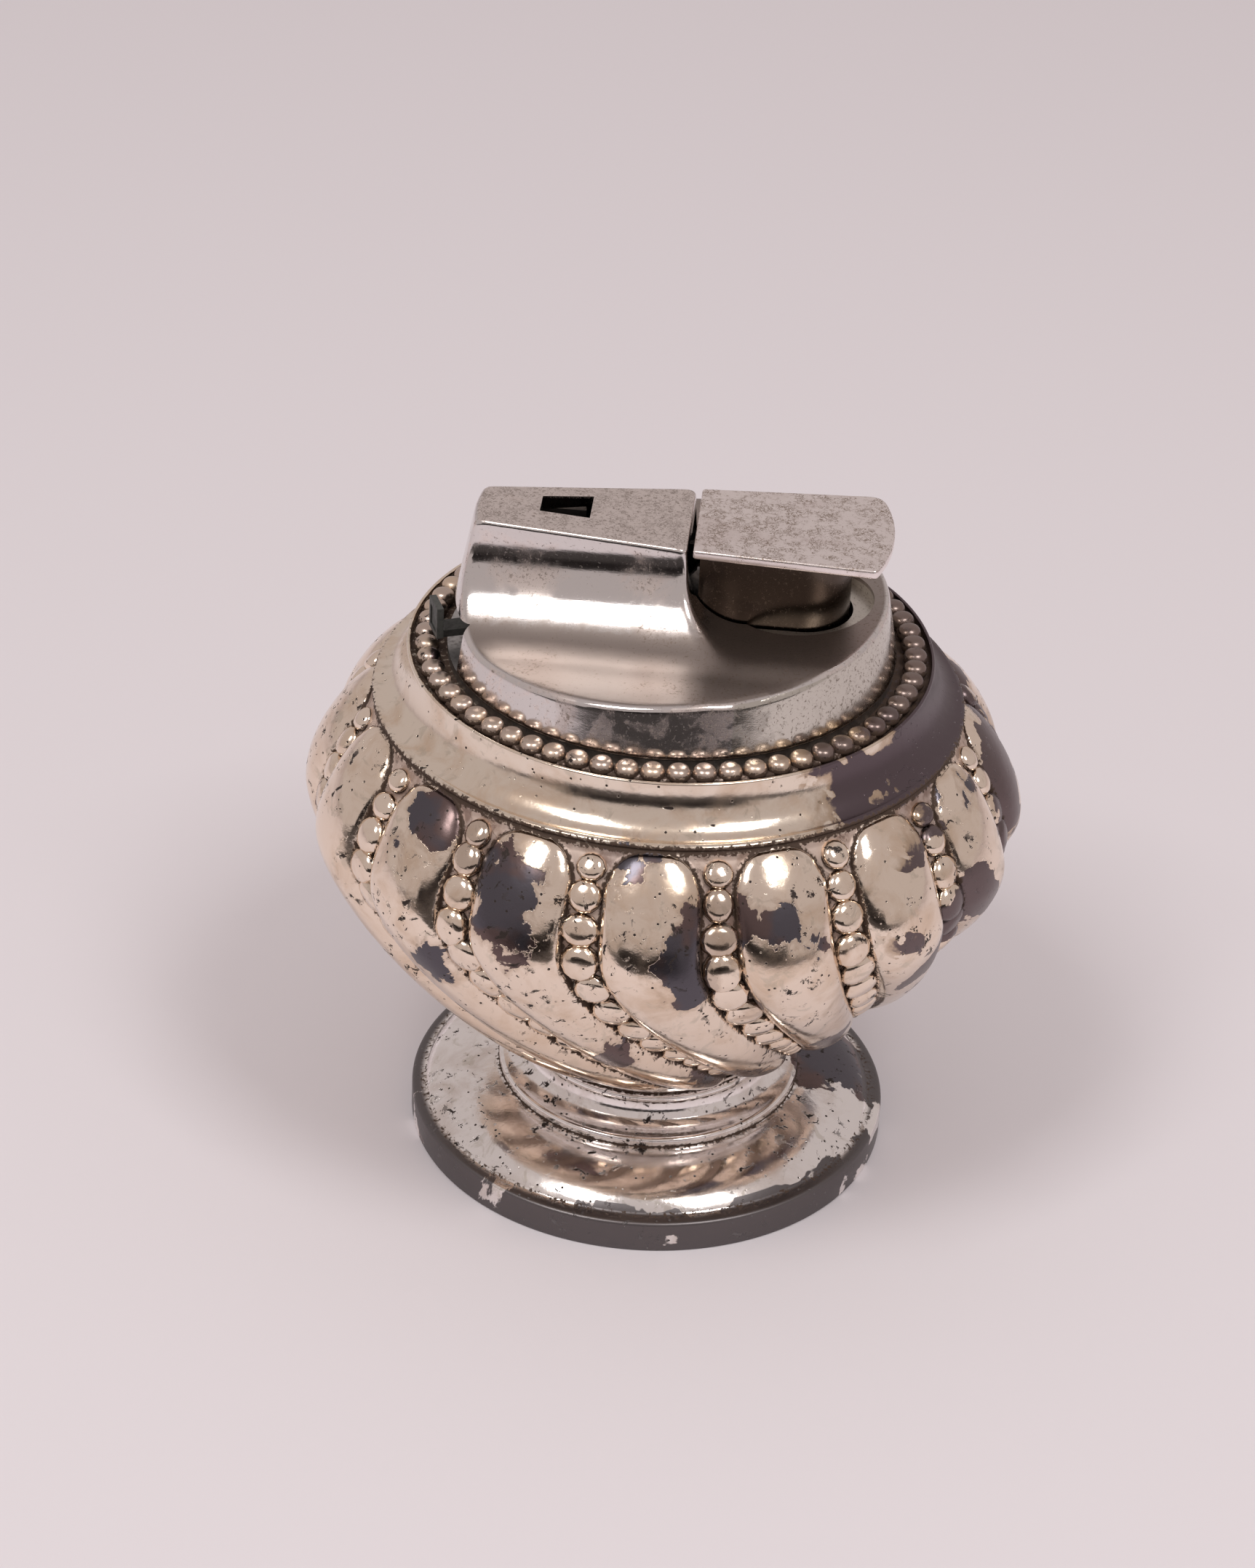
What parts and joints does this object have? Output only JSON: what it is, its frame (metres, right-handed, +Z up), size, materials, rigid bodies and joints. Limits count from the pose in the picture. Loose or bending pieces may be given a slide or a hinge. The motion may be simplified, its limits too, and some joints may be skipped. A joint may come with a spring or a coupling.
{
  "type": "table lighter",
  "caption": "Footed table lighter: a round vessel with spiral gadroons and bead rows, and a lift-out gas insert with a thumb lever, flame window and flame adjuster.",
  "frame": {"origin": "bottom centre of the foot, on the surface it stands on", "axes": "+X along the top bar towards the thumb lever, +Z up, +Y away from the side shown in the picture"},
  "size_m": [0.0758, 0.0758, 0.0742],
  "materials": {
    "silver_plate": "worn silver plate with brown patina",
    "worn_foot": "worn silver plate, dark at the edge",
    "nickel": "polished plated casting with fine staining",
    "steel": "plain steel",
    "dark_steel": "dark hardened steel",
    "brass": "turned brass",
    "felt": "green felt",
    "rubber": "black rubber",
    "tank": "drawn aluminium",
    "tab": "dark moulded plastic",
    "flint": "dull grey flint alloy"
  },
  "bodies": {
    "vessel": {"foot": "worn_foot", "felt_pad": "felt", "foot_stud": "steel", "foot_washer": "steel", "foot_nut": "brass", "gadrooned_bowl": "silver_plate", "collar": "silver_plate", "rim_beads": "silver_plate", "well_cup": "steel"},
    "insert": {"top_casting": "nickel", "chassis_plate": "steel", "chassis_screws": "steel", "fuel_tank": "tank", "tank_base": "tank", "grip_ring": "rubber", "burner_valve": "brass", "valve_spring": "steel", "flame_shroud": "dark_steel", "mechanism_bracket": "steel", "wheel_axle": "steel", "flint_tube": "brass", "flint": "flint", "flint_spring": "steel", "flint_screw": "brass", "lever_pin": "steel", "lever_spring": "steel", "filler_valve": "brass"},
    "lever": {"thumb_lever": "nickel", "lever_yoke": "dark_steel", "pawl_pin": "steel"},
    "wheel": {"spark_wheel": "dark_steel", "ratchet_wheel": "dark_steel"},
    "pawl": {"pawl": "dark_steel"},
    "jet": {"burner_jet": "brass"},
    "adjuster": {"flame_adjuster": "tab"},
    "filler": {"filler_stem": "brass"}
  },
  "joints": [
    {"name": "insert_lift", "type": "slide", "parent": "vessel", "child": "insert", "axis": [0, 0, 1], "range_m": [0, 0.04]},
    {"name": "thumb_lever_press", "type": "hinge", "parent": "insert", "child": "lever", "pos_m": [0.0036, 0, 0.069], "axis": [0, 1, 0], "range_deg": [0, 9], "stiffness_Nm_per_rad": 0.3, "springref_deg": -5.73, "deforming": ["lever_spring"]},
    {"name": "spark_wheel_turn", "type": "hinge", "parent": "insert", "child": "wheel", "pos_m": [-0.0055, 0, 0.0666], "axis": [0, 1, 0], "range_deg": [0, 46]},
    {"name": "pawl_swing", "type": "hinge", "parent": "lever", "child": "pawl", "pos_m": [-0.0088, 0.002, 0.0696], "axis": [0, 1, 0], "range_deg": [-10, 0]},
    {"name": "burner_jet_lift", "type": "slide", "parent": "insert", "child": "jet", "axis": [0, 0, 1], "range_m": [0, 0.0015], "deforming": ["valve_spring"]},
    {"name": "flame_adjuster_turn", "type": "hinge", "parent": "insert", "child": "adjuster", "pos_m": [-0.0121, 0.00075, 0.0606], "axis": [0, 0, 1], "range_deg": [-45, 5]},
    {"name": "filler_stem_press", "type": "slide", "parent": "insert", "child": "filler", "axis": [0, 0, 1], "range_m": [0, 0.0012], "stiffness_N_per_m": 400, "springref_m": -0.001}
  ],
  "couplings": [
    {"joint": "spark_wheel_turn", "follows": "thumb_lever_press", "ratio": 5},
    {"joint": "pawl_swing", "follows": "thumb_lever_press", "ratio": -1},
    {"joint": "burner_jet_lift", "follows": "thumb_lever_press", "m_per_rad": 0.008913}
  ]
}
